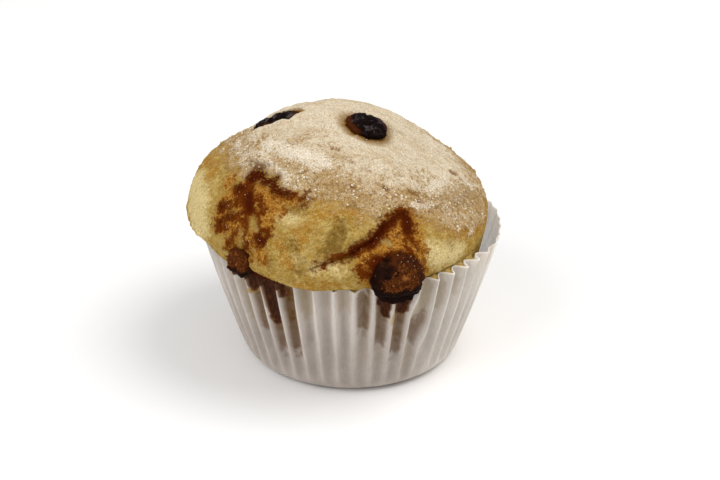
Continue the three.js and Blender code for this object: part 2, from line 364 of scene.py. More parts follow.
class CaseSettings(bpy.types.PropertyGroup):
    """Paper case"""

    paper: length("Paper", "Thickness of the paper", 0.12)
    base_radius: length("Base radius", "Radius where the wall's line meets the table", 24.8)
    corner: length("Corner", "Radius between base and wall", 5.2)
    bow: length("Bow", "How far the wall bows outwards", 0.35)
    steps: count("Steps", "Faces across one pleat", 12)
    rows: count("Rows", "Faces up the wall", 56)
    dry: colour("Dry paper", "Paper on the outer folds", (0.72, 0.625, 0.55))
    # Partly painted light: the case's right side gets this paler paper where the light falls from
    # the right.
    clean: colour("Clean paper", "Paper on the side without grease", (0.93, 0.835, 0.73))
    # Also painted shade: the lower wall is painted with this colour towards its foot, where less
    # light reaches.
    greased_and_shaded: colour("Greased paper", "Paper that lies on the bake", (0.42, 0.355, 0.31))
    tan: colour("Tanned paper", "Paper near the rim with the crumb behind it", (0.42, 0.33, 0.22))
    soaked: colour("Soaked paper", "Paper with juice behind it", (0.155, 0.078, 0.020))
    purple: colour("Old juice", "The lower ends of the soaked stains", (0.19, 0.115, 0.075))
    spilt: colour("Spilt juice", "Juice that ran down over the paper", (0.04, 0.010, 0.003))
    syrup: colour("Syrup", "Thin yellow syrup beside the juice", (0.42, 0.25, 0.06))
    # Painted light: the inside of the standing paper is painted near white for the light that
    # shines through it.
    inside: colour("Inside", "Inside of the standing paper", (0.99, 0.96, 0.93))
    spilt_edge: colour("Spilt edge", "Thin edge of the spilt juice", (0.15, 0.055, 0.016))
    spilt_thin: colour("Spilt thin", "Thinner spots in the spilt juice", (0.085, 0.026, 0.008))
    glow: number("Glow", "Share of the light that passes into the paper", 0.65)


class BakeSettings(bpy.types.PropertyGroup):
    """Bake"""

    voxel: length("Voxel", "Size of the bake's mesh faces", 0.36)
    lumps: length("Lumps", "Height of the dome's broad lumps", 0.4)
    crust_step: length("Crust step", "How far the crust stands over the crumb", 0.4)
    crumb_grain: length("Crumb grain", "Height of the open crumb", 0.28)
    juice_grain: length("Juice grain", "Height of the baked juice's bubbles", 0.22)
    clearance: length("Clearance", "Room between the bake and the paper", 0.12)
    cream: colour("Cream", "Palest crust", (0.70, 0.595, 0.435))
    tan: colour("Tan", "Browned crust", (0.43, 0.29, 0.135))
    blotch: colour("Crust blotch", "Browner blotches of the crust", (0.46, 0.29, 0.115))
    toast: colour("Toast", "Toasted crust", (0.32, 0.195, 0.07))
    crust_spot: colour("Crust spot", "Small dark spots of the crust", (0.27, 0.15, 0.045))
    floury: colour("Floury crust", "Flour baked onto the crust", (0.86, 0.79, 0.68))
    crumb: colour("Crumb", "Open crumb", (0.35, 0.21, 0.04))
    crumb_pale: colour("Pale crumb", "Pale patches of the crumb", (0.50, 0.355, 0.115))
    crumb_warm: colour("Warm crumb", "Warm patches of the crumb", (0.42, 0.29, 0.085))
    crumb_spot: colour("Crumb spot", "Small dark spots of the crumb", (0.27, 0.155, 0.03))
    # Painted light on the swellings.
    lit: colour("Lit crumb", "Palest crumb, on the swellings", (0.70, 0.56, 0.27))
    gold: colour("Gold", "Golden crumb", (0.36, 0.165, 0.022))
    # Painted shade in the hollows and the pores.
    hollow_shade: colour("Olive", "Crumb in the hollows", (0.18, 0.10, 0.018))
    # Painted shadow: a dark line under the crust's overhanging edge.
    shadow_under_crust: colour("Under edge", "Crumb right under the crust", (0.34, 0.17, 0.035))
    # Also painted light on the left side of the crust.
    flour_and_light: colour("Flour", "Lumps of dry flour", (0.86, 0.78, 0.64))
    # Painted shade inside the pits.
    shaded_pit: colour("Pit", "Inside of a pore", (0.20, 0.085, 0.018))
    # Painted shade in the creases and in the hollows round the berries.
    crease_shade: colour("Groove", "Foot of a fold or a hollow", (0.24, 0.12, 0.022))
    amber: colour("Amber", "Crumb soaked in juice", (0.235, 0.075, 0.005))
    syrup_pale: colour("Pale syrup", "Thinnest specks of the juice", (0.46, 0.225, 0.04))
    syrup_dark: colour("Dark syrup", "Darker blotches of the juice", (0.15, 0.045, 0.005))
    brown: colour("Brown", "Thicker juice", (0.115, 0.024, 0.0015))
    dark: colour("Dark", "Thickest juice", (0.060, 0.008, 0.0008))


class BerrySettings(bpy.types.PropertyGroup):
    """Berries"""

    voxel: length("Voxel", "Size of a berry's mesh faces", 0.17)
    wrinkle: length("Wrinkle", "Depth of the skin's wrinkles", 0.3)
    skin: colour("Skin", "Berry skin", (0.006, 0.0025, 0.002))
    # Partly painted highlight: the bloom on the berry's outer side also stands in for glints.
    bloom_and_glints: colour("Bloom", "Dull bloom on the skin", (0.080, 0.062, 0.064))
    stewed: colour("Stewed skin", "Skin where the juice has baked", (0.066, 0.016, 0.003))
    pulp: colour("Pulp", "Baked pulp", (0.062, 0.015, 0.003))
    pulp_pale: colour("Pale pulp", "Paler specks of the pulp", (0.19, 0.060, 0.012))
    pip: colour("Pip", "Palest bits of the pulp", (0.30, 0.11, 0.025))


class GrainSettings(bpy.types.PropertyGroup):
    """Loose grains"""

    sugar: count("Sugar grains", "Number of sugar grains on the crust", 300)
    # Painted highlights: pale shiny crystals that stand in for glints on the wet juice and the
    # right berry.
    glint_crystals: count("Sparks", "Number of small crystals on the juice and the right berry", 120)
    crumbs: count("Crumbs", "Number of loose crumbs", 150)
    sugar_size: length("Sugar size", "Half width of a sugar grain", 0.15)
    glint_size: length("Spark size", "Half width of one of those crystals", 0.055)
    crumb_size: length("Crumb size", "Half width of a crumb", 0.3)
    sugar_pale: colour("Pale sugar", "Clean sugar", (0.76, 0.68, 0.54))
    sugar_brown: colour("Brown sugar", "Sugar that has browned", (0.62, 0.50, 0.33))
    crumb_pale: colour("Pale crumb", "Paler loose crumb", (0.66, 0.51, 0.30))
    crumb_brown: colour("Brown crumb", "Browner loose crumb", (0.50, 0.34, 0.15))
    seed: count("Seed", "Seed of the scatter", 7)


class StageSettings(bpy.types.PropertyGroup):
    """Stage"""

    distance: number("Distance", "Camera to the muffin", 0.45, unit="LENGTH")
    elevation: number("Elevation", "Camera's look down", math.radians(27.2), subtype="ANGLE")
    aim: length("Aim", "Height that the camera looks at", 30)
    lens: number("Lens", "Focal length in millimetres", 97.1)
    shift_x: number("Shift X", "Sideways shift of the view", 0.0122)
    shift_y: number("Shift Y", "Upward shift of the view", -0.0203)
    floor: colour("Floor", "Colour of the floor", (0.88, 0.88, 0.88))
    sky: number("Sky", "Strength of the even light", 0.64)
    key: number("Key", "Power of the large back light", 3.9, unit="POWER")
    fill: number("Fill", "Power of the front light", 4.4, unit="POWER")


# ---------------------------------------------------------------------------
# Tools
# ---------------------------------------------------------------------------


def deselect_all():
    if bpy.context.object and bpy.context.object.mode != "OBJECT":
        bpy.ops.object.mode_set(mode="OBJECT")
    bpy.ops.object.select_all(action="DESELECT")


def select_only(piece):
    deselect_all()
    piece.select_set(True)
    bpy.context.view_layer.objects.active = piece


@contextmanager
def whole_mesh_edited():
    """Edit mode on the active piece, with all of it selected."""
    bpy.ops.object.mode_set(mode="EDIT")
    bpy.ops.mesh.select_all(action="SELECT")
    yield
    bpy.ops.object.mode_set(mode="OBJECT")


def apply_modifiers(piece):
    select_only(piece)
    for modifier in list(piece.modifiers):
        bpy.ops.object.modifier_apply(modifier=modifier.name)


def read(items, field, width):
    values = np.empty(len(items) * width, np.float32)
    items.foreach_get(field, values)
    return values.reshape(-1, width).astype(float)


def points_of(piece):
    return read(piece.data.vertices, "co", 3)


def normals_of(piece):
    return read(piece.data.vertex_normals, "vector", 3)


def set_points(piece, points):
    piece.data.vertices.foreach_set("co", points.astype(np.float32).ravel())
    piece.data.update()


def push(piece, amounts):
    """Moves every vertex along its normal."""
    set_points(piece, points_of(piece) + normals_of(piece) * amounts[:, None])


def paint(piece, name, values):
    """Stores one number per vertex for the material to read."""
    layer = piece.data.attributes.new(name, "FLOAT", "POINT")
    layer.data.foreach_set("value", np.asarray(values, np.float32))


def painted(piece, name):
    return read(piece.data.attributes[name].data, "value", 1)[:, 0]


def ramp(values, low, high):
    """0 below low, 1 above high and a smooth step between."""
    share = np.clip((np.asarray(values, float) - low) / (high - low), 0, 1)
    return share * share * (3 - 2 * share)


def grain(points, size, octaves=3, seed=0):
    """Fractal noise from about -1 to 1 at each point, with lumps of one size."""
    shift = Vector((17.3, 5.9, 11.7)) * seed
    return np.array([noise.fractal(Vector(p) / size + shift, 1.0, 2.0, octaves) for p in points])


def cells(points, size, seed=0):
    """Distance to the nearest cell's centre, in cell sizes."""
    shift = Vector((3.1, 8.7, 1.9)) * seed
    return np.array([noise.voronoi(Vector(p) / size + shift)[0][0] for p in points])


def azimuths(points):
    return np.degrees(np.arctan2(points[:, 0], -points[:, 1]))


def radii(points):
    return np.hypot(points[:, 0], points[:, 1])


def outward(azimuth):
    angle = math.radians(azimuth)
    return Vector((math.sin(angle), -math.cos(angle), 0))


def set_radii(points, wanted):
    """Moves points towards or away from the vertical axis, in place."""
    share = wanted / np.maximum(radii(points), 0.1 * MM)
    points[:, :2] *= share[:, None]


def copy_of_node(node, name):
    """A merged copy of a CAD node's mesh, on its own."""
    select_only(frame["nodes"][node])
    bpy.ops.object.duplicate()
    piece = bpy.context.object
    bpy.ops.object.parent_clear(type="CLEAR_KEEP_TRANSFORM")
    piece.name = piece.data.name = name
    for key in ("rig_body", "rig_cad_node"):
        if key in piece:
            del piece[key]
    piece.data.materials.clear()
    with whole_mesh_edited():
        bpy.ops.mesh.remove_doubles(threshold=0.001 * MM)
        bpy.ops.mesh.normals_make_consistent(inside=False)
    return piece


def remesh(piece, voxel, passes):
    """An even skin of small faces over the piece, smoothed a few times."""
    remesher = piece.modifiers.new("skin", "REMESH")
    remesher.mode = "VOXEL"
    remesher.voxel_size = voxel
    smoother = piece.modifiers.new("smooth", "SMOOTH")
    smoother.factor = 0.5
    smoother.iterations = passes
    apply_modifiers(piece)


def hand_over(piece, material, replaced=()):
    """Gives a finished piece its material and its body, and hides the parts that it replaces."""
    select_only(piece)
    bpy.ops.object.shade_smooth()
    piece.data.materials.clear()
    piece.data.materials.append(material)
    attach(piece, "root")
    if replaced:
        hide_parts(*replaced)


def surface(piece):
    """A piece's faces, for finding places on them."""
    shape = bmesh.new()
    shape.from_mesh(piece.data)
    tree = BVHTree.FromBMesh(shape)
    shape.free()
    return tree


class Dome:
    """The bake's outside, on which the marks are looked up."""

    def __init__(self, piece):
        self.tree = surface(piece)

    def place(self, azimuth, height):
        """The point of the outside at an azimuth in degrees and a height in millimetres."""
        aim = outward(azimuth)
        start = aim * 0.1 + Vector((0, 0, height * MM))
        hit = self.tree.ray_cast(start, -aim)[0]
        if hit is None:
            raise RuntimeError(f"the dome has no point at {azimuth} degrees and {height} mm")
        return hit

    def line(self, marks):
        """A line of (azimuth, height, size) marks as points and sizes in metres."""
        places = np.array([self.place(azimuth, height) for azimuth, height, _ in marks])
        return places, np.array([size * MM for _, _, size in marks])


def along_line(points, places, sizes):
    """How each point lies to a line: depth within its half width, share of that width, and side.

    The depth is positive inside the line. The share is 0 on the line and 1 at its edge. The side
    is the distance to the left of the line, seen from outside.
    """
    depth = np.full(len(points), -1.0)
    share = np.full(len(points), 1e3)
    side = np.zeros(len(points))
    centre = np.array([0, 0, 25 * MM])
    for a, b, size_a, size_b in zip(places[:-1], places[1:], sizes[:-1], sizes[1:]):
        run = b - a
        t = np.clip((points - a) @ run / max(run @ run, 1e-12), 0, 1)
        offset = points - a - t[:, None] * run
        away = np.linalg.norm(offset, axis=1)
        size = size_a + (size_b - size_a) * t
        depth = np.maximum(depth, size - away)
        left = np.cross((a + b) / 2 - centre, run)
        nearer = away / size < share
        side = np.where(nearer, offset @ (left / max(np.linalg.norm(left), 1e-12)), side)
        share = np.minimum(share, away / size)
    return depth, share, side


def depth_in(points, lines):
    """The greatest depth of each point within any of a list of lines, in millimetres."""
    return np.max([along_line(points, *line)[0] for line in lines], axis=0) / MM


# ---------------------------------------------------------------------------
# Materials
# ---------------------------------------------------------------------------


class Recipe:
    """Builds one node material round a single Principled shader."""

    def __init__(self, name):
        self.material = bpy.data.materials.new(name)
        self.material.use_nodes = True
        self.tree = self.material.node_tree
        self.shader = self.tree.nodes["Principled BSDF"]
        self.place = self.node("ShaderNodeTexCoord").outputs["Object"]

    def node(self, kind, inputs=(), **settings):
        """A new node with its settings and its inputs, by name or number."""
        made = self.tree.nodes.new(kind)
        for key, value in settings.items():
            setattr(made, key, value)
        self.feed(made, dict(inputs))
        return made

    def feed(self, node, inputs):
        """Links or sets inputs of a node."""
        for key, value in inputs.items():
            socket = node.inputs[key]
            if isinstance(value, bpy.types.NodeSocket):
                self.tree.links.new(value, socket)
            elif socket.type == "RGBA":
                socket.default_value = (*value, 1)
            else:
                socket.default_value = value

    def layer(self, name):
        """A number that was painted on the mesh."""
        return self.node("ShaderNodeAttribute", attribute_name=name).outputs["Fac"]

    def shifted(self, seed, stretch=(1, 1, 1)):
        """Object coordinates moved by a seed and stretched."""
        away = (seed, seed * 1.7, seed * 0.6)
        inputs = {"Vector": self.place, "Location": away, "Scale": stretch}
        return self.node("ShaderNodeMapping", inputs).outputs[0]

    def noise(self, size, detail=3.0, rough=0.5, seed=0.0, stretch=(1, 1, 1)):
        """Noise from 0 to 1 with patches of a size in metres."""
        inputs = {"Vector": self.shifted(seed, stretch), "Scale": 1 / size}
        inputs |= {"Detail": detail, "Roughness": rough}
        return self.node("ShaderNodeTexNoise", inputs).outputs["Fac"]

    def cell(self, size, seed):
        """Distance from the nearest cell's centre, with cells of a size in metres."""
        inputs = {"Vector": self.shifted(seed), "Scale": 1 / size}
        return self.node("ShaderNodeTexVoronoi", inputs).outputs["Distance"]

    def step(self, value, low, high, to_low=0.0, to_high=1.0):
        """A smooth step from low to high."""
        inputs = {"Value": value, "From Min": low, "From Max": high}
        inputs |= {"To Min": to_low, "To Max": to_high}
        made = self.node("ShaderNodeMapRange", inputs, interpolation_type="SMOOTHSTEP")
        return made.outputs["Result"]

    def maths(self, operation, a, b, clamp=False):
        inputs = {0: a, 1: b}
        return self.node("ShaderNodeMath", inputs, operation=operation, use_clamp=clamp).outputs[0]

    def times(self, a, b):
        return self.maths("MULTIPLY", a, b)

    def less(self, start, value, share):
        """What is left of a start when a share of a value is taken off."""
        return self.maths("SUBTRACT", start, self.times(value, share))

    def ragged(self, depth, patches, wander, soft, most=1.0):
        """1 where a depth in millimetres is positive, with an edge that noise moves to and fro."""
        moved = self.maths("ADD", depth, self.step(patches, 0.25, 0.75, -wander, wander))
        return self.step(moved, -soft, soft, 0, most)

    def mix(self, share, a, b, blend="MIX"):
        inputs = {"Factor": share, 6: a, 7: b}
        return self.node("ShaderNodeMix", inputs, data_type="RGBA", blend_type=blend).outputs[2]

    def shade(self, colour, brightness):
        """A colour times a number."""
        grey = self.node("ShaderNodeCombineColor", {channel: brightness for channel in range(3)})
        return self.mix(1.0, colour, grey.outputs["Color"], blend="MULTIPLY")

    def bump(self, height, depth, under=None):
        """Relief of a depth in metres, from a height of 0 to 1."""
        inputs = {"Distance": depth, "Height": height}
        if under is not None:
            inputs["Normal"] = under
        return self.node("ShaderNodeBump", inputs).outputs["Normal"]

    def finish(self, colour, roughness, normal=None, **sockets):
        inputs = {name.replace("_", " "): value for name, value in sockets.items()}
        inputs |= {"Base Color": colour, "Roughness": roughness}
        if normal is not None:
            inputs["Normal"] = normal
        self.feed(self.shader, inputs)
        return self.material


def bake_material(settings):
    """Floury crust over open crumb, with golden bands, amber soaked crumb and dark juice, painted
    shade in the hollows, pores, pits and creases and under the crust's edge, and painted light on
    the swellings.
    """
    r = Recipe("baked crumb and crust")
    over = r.layer("over")
    fine = r.noise(0.45 * MM, 3.0, 0.65)
    speck = r.noise(0.3 * MM, 2.0, 0.6, seed=0.31)
    blotch = r.noise(1.5 * MM, 4.0, 0.65, seed=0.21)
    patch = r.noise(5.0 * MM, 4.0, 0.6, seed=0.12)
    streak = r.noise(2.4 * MM, 4.0, 0.65, seed=0.44, stretch=(0.35, 1, 0.6))
    mottle = r.noise(0.9 * MM, 4.0, 0.7, seed=0.93)

    browned = r.step(over, 1.5, 8.5, 1.0, 0.0)
    browned = r.maths("ADD", browned, r.step(streak, 0.38, 0.68, -0.2, 0.28))
    browned = r.maths("ADD", browned, r.step(patch, 0.35, 0.70, -0.12, 0.25), clamp=True)
    toast = r.ragged(r.layer("toast"), mottle, 3.0, 1.8, 0.75)
    spots = r.times(r.step(mottle, 0.50, 0.61), r.step(over, 3.0, 10.0, 0.85, 0.2))
    floury = r.times(r.step(fine, 0.50, 0.66), r.step(streak, 0.3, 0.6, 0.6, 0.15))
    crust = r.mix(browned, settings.cream, settings.tan)
    crust = r.mix(r.step(blotch, 0.52, 0.72, 0, 0.4), crust, settings.blotch)
    crust = r.mix(toast, crust, settings.toast)
    crust = r.mix(spots, crust, settings.crust_spot)
    crust = r.mix(r.times(floury, r.less(1.0, toast, 0.4)), crust, settings.floury)

    crumb = r.mix(r.step(blotch, 0.38, 0.62), settings.crumb, settings.crumb_pale)
    crumb = r.mix(r.step(patch, 0.45, 0.7, 0, 0.35), crumb, settings.crumb_warm)
    crumb = r.mix(r.step(mottle, 0.50, 0.64, 0, 0.4), crumb, settings.crumb_spot)
    # Gold is the crumb's own colour; lit is painted light and hollow shade is painted shade.
    tints = (("lit", 1.6, 1.6, 0.9), ("gold", 1.9, 1.2, 0.8), ("hollow_shade", 1.6, 1.8, 0.9))
    for name, wander, soft, most in tints:
        tint = r.ragged(r.layer(name), mottle, wander, soft, most)
        crumb = r.mix(tint, crumb, getattr(settings, name))
    # Painted shade at the centres of the crumb's pores.
    pores = r.step(r.cell(1.9 * MM, 0.6), 0.06, 0.26, 0.45, 0)
    crumb = r.mix(pores, crumb, settings.hollow_shade)

    colour = r.mix(r.ragged(over, fine, 1.5, 0.9), crumb, crust)
    # Painted shadow under the crust's edge.
    shadow_under_crust = r.times(r.step(over, -1.6, -0.3), r.step(over, 0.1, 0.9, 1, 0))
    shadow_under_crust = r.times(shadow_under_crust, r.step(blotch, 0.40, 0.62, 0, 0.6))
    colour = r.mix(shadow_under_crust, colour, settings.shadow_under_crust)
    colour = r.mix(r.ragged(r.layer("flour_and_light"), fine, 1.2, 0.9, 0.7), colour, settings.flour_and_light)
    # Painted shade inside the pits.
    shaded_pit = r.ragged(r.maths("ADD", r.layer("shaded_pit"), 0.2), fine, 0.45, 0.3, 0.85)
    colour = r.mix(shaded_pit, colour, settings.shaded_pit)
    # Painted shade in the creases and in the hollows round the berries.
    colour = r.mix(r.layer("crease_shade"), colour, settings.crease_shade)

    unsoaked = r.maths("SUBTRACT", 1.0, r.ragged(r.layer("bare"), blotch, 0.9, 0.6, 0.75))
    amber = r.times(r.ragged(r.maths("ADD", r.layer("amber"), 1.0), blotch, 1.4, 1.0), unsoaked)
    brown = r.times(r.ragged(r.maths("ADD", r.layer("brown"), 0.7), blotch, 1.2, 0.9), unsoaked)
    dark = r.ragged(r.maths("ADD", r.layer("dark"), 0.65), fine, 0.7, 0.8)
    syrup = r.mix(r.step(fine, 0.40, 0.60), settings.amber, settings.syrup_pale)
    syrup = r.mix(r.step(blotch, 0.48, 0.62, 0, 0.75), syrup, settings.syrup_dark)
    for share, juice in ((amber, syrup), (brown, settings.brown), (dark, settings.dark)):
        colour = r.mix(share, colour, juice)
    colour = r.shade(colour, r.step(speck, 0.2, 0.8, 0.64, 1.28))

    wet = r.maths("MAXIMUM", amber, r.maths("MAXIMUM", brown, dark))
    relief = r.bump(r.noise(0.9 * MM, 5.0, 0.7, seed=0.5), 0.32 * MM)
    relief = r.bump(fine, 0.16 * MM, relief)
    return r.finish(colour, r.less(0.95, wet, 0.55), relief, Specular_IOR_Level=0.01)


def paper_material(settings):
    """Thin greaseproof paper: darker where it lies on the bake and, as painted shade, towards its
    foot; paler on the right and inside as painted light; brown where juice has soaked in.
    """
    r = Recipe("greaseproof paper")
    fibre = r.noise(0.5 * MM, 4.0, 0.6, stretch=(1, 1, 0.4))
    blotch = r.noise(2.0 * MM, 3.0, 0.55, seed=0.8)
    cloud = r.noise(5 * MM, 3.0, 0.55, seed=0.4)
    valley, clean = r.layer("valley"), r.layer("clean")
    # Grease on the inner folds, plus painted shade that darkens the wall towards its foot.
    grease_and_low_shade = r.times(r.layer("grease_and_low_shade"), r.step(cloud, 0.25, 0.75, 0.7, 1.0))
    grease_and_low_shade = r.times(grease_and_low_shade, r.less(1.0, clean, 0.5))
    tanned = r.times(r.layer("tanned"), r.step(cloud, 0.3, 0.7, 0.4, 0.9))
    uneven = r.times(valley, r.step(blotch, 0.3, 0.65, 0.82, 1.0))
    old_juice = r.mix(r.layer("low"), settings.soaked, settings.purple)
    over_folds = r.maths("MAXIMUM", valley, r.layer("smear"))
    spilt = r.times(r.ragged(r.layer("spilt"), blotch, 0.5, 0.7), over_folds)
    thick_juice = r.mix(r.step(fibre, 0.35, 0.65), settings.spilt, settings.spilt_thin)

    # Paler paper on the right side, partly painted light.
    colour = r.mix(clean, settings.dry, settings.clean)
    layers = (
        (grease_and_low_shade, settings.greased_and_shaded),
        # Painted light shining through the standing paper, on its inside.
        (r.layer("inside"), settings.inside),
        (tanned, settings.tan),
        (r.times(r.layer("tinted"), uneven), settings.tan),
        (r.times(r.layer("soaked"), uneven), old_juice),
        (r.ragged(r.layer("syrup"), fibre, 0.2, 0.25, 0.8), settings.syrup),
        (r.step(spilt, 0.03, 0.3, 0, 0.9), settings.spilt_edge),
        (r.step(spilt, 0.25, 0.65), thick_juice),
    )
    for share, stain in layers:
        colour = r.mix(share, colour, stain)
    colour = r.shade(colour, r.step(fibre, 0.2, 0.8, 0.93, 1.05))
    relief = r.bump(fibre, 0.03 * MM)
    relief = r.bump(r.noise(1.6 * MM, 2.0, 0.5, seed=0.7), 0.10 * MM, relief)
    glow = {"Subsurface_Weight": settings.glow, "Subsurface_Radius": (1, 1, 1)}
    glow |= {"Subsurface_Scale": 1.2 * MM}
    return r.finish(colour, r.less(0.75, spilt, 0.3), relief, Specular_IOR_Level=0.08, **glow)


def berry_material(settings, name, roughness):
    """Dark skin with a dull bloom that partly stands in for glints, and brown pulp where it has
    burst.
    """
    r = Recipe(name)
    fine = r.noise(0.45 * MM, 3.0, 0.65, seed=0.2)
    cloud = r.noise(1.6 * MM, 3.0, 0.6, seed=0.9)
    # Painted highlights: the bloom on the outer side also carries the glints.
    bloom_and_glints = r.times(r.layer("bloom_and_glints"), r.step(cloud, 0.50, 0.72))
    colour = r.mix(bloom_and_glints, settings.skin, settings.bloom_and_glints)
    colour = r.mix(r.layer("stewed"), colour, settings.stewed)
    pulp = r.mix(r.step(fine, 0.44, 0.68), settings.pulp, settings.pulp_pale)
    pulp = r.mix(r.step(cloud, 0.5, 0.65, 0, 0.7), pulp, settings.stewed)
    mask = r.step(r.maths("ADD", r.layer("pulp"), r.step(fine, 0.3, 0.7, -0.3, 0.3)), 0.35, 0.65)
    colour = r.mix(mask, colour, pulp)
    colour = r.mix(r.times(r.layer("pip"), r.step(fine, 0.35, 0.5)), colour, settings.pip)
    rough = r.step(cloud, 0.3, 0.7, roughness - 0.08, roughness + 0.14)
    return r.finish(colour, rough, r.bump(fine, 0.22 * MM), Specular_IOR_Level=0.02)


def grain_material(name, colour, varied, size, roughness):
    """One colour varied by a second in soft patches."""
    r = Recipe(name)
    mixed = r.mix(r.step(r.noise(size, 3.0, 0.6), 0.35, 0.65), colour, varied)
    relief = r.bump(r.noise(size * 0.4, 3.0, 0.6, seed=0.3), size * 0.12)
    return r.finish(mixed, roughness, relief)


# ---------------------------------------------------------------------------
# Paper case
# ---------------------------------------------------------------------------


def fold_radius(height, settings):
    """Radius over the outer folds at a height."""
    share = height / CASE_HIGH.z
    spread = CASE_HIGH.x - settings.base_radius
    return settings.base_radius + spread * share + 4 * settings.bow * share * (1 - share)


def fold_depth(height, settings):
    """How deep the folds are: the flat disc's spare width at that height is folded in."""
    radius = fold_radius(height, settings)
    flat = settings.base_radius + np.hypot(height, radius - settings.base_radius)
    return np.pi * radius / PLEATS * np.sqrt(np.maximum((flat / radius) ** 2 - 1, 0))


def pleat_turns(angle, height):
    """Place round the case in pleats, whole on the outer folds."""
    rise = np.clip(height / CASE_HIGH.z, 0, 1)
    start = 18 + (1 - rise) * 20
    pushed = 2.9 * ramp(angle - start, 0, 8) * (1 - ramp(angle, 70, 110))
    return (angle - pushed - FIRST_PLEAT) * PLEATS / 360


def fold_share(angle, height):
    """How far in from the outer folds each place is, and a random number that its pleat has."""
    turns = pleat_turns(angle, height)
    rise = np.clip(height / CASE_HIGH.z, 0, 1)
    number = np.round(turns)
    wander = np.sin((number % PLEATS) * 12.9898) * 43758.5453
    own = (wander - np.floor(wander)) - 0.5
    between = np.abs(np.sin(np.pi * (turns - number)))
    return between ** (1.6 - 0.6 * ramp(rise, 0.6, 1)), own


def wall_radius(angle, height, settings):
    """Radius of the folded wall's outside at azimuths and heights."""
    fold, own = fold_share(angle, height)
    depth = fold_depth(height, settings) * ramp(height, 0, settings.corner)
    depth = depth * (1 + 0.14 * own * ramp(height, 8 * MM, 30 * MM))
    smoothed = ramp(angle, 56, 72) * (1 - ramp(angle, 100, 125)) * ramp(height, 14 * MM, 28 * MM)
    depth = depth * (1 - 0.85 * smoothed)
    return fold_radius(height, settings) - depth * fold


def wall_line(marks, settings):
    """A line of marks on the wall's outer folds, as points and sizes in metres."""
    heights = np.array([height for _, height, _ in marks]) * MM
    reach = fold_radius(heights, settings)
    places = [outward(mark[0]) * radius for mark, radius in zip(marks, reach)]
    places = np.array(places) + np.array([[0, 0, height] for height in heights])
    return places, np.array([size for _, _, size in marks]) * MM


def case_line(settings):
    """(radius, height) points from the edge of the flat base up to the rim."""
    top = settings.corner * 0.62
    head = fold_radius(top, settings)
    foot = head - settings.corner
    line = []
    for t in np.linspace(0, 1, 9)[1:]:
        bend = 2 * t * (1 - t)
        radius = (1 - t) ** 2 * foot + bend * settings.base_radius + t * t * head
        line.append((radius, t * t * top))
    for share in np.linspace(0, 1, settings.rows + 1)[1:]:
        height = top + (CASE_HIGH.z - top) * share
        line.append((fold_radius(height, settings), height))
    return foot, line


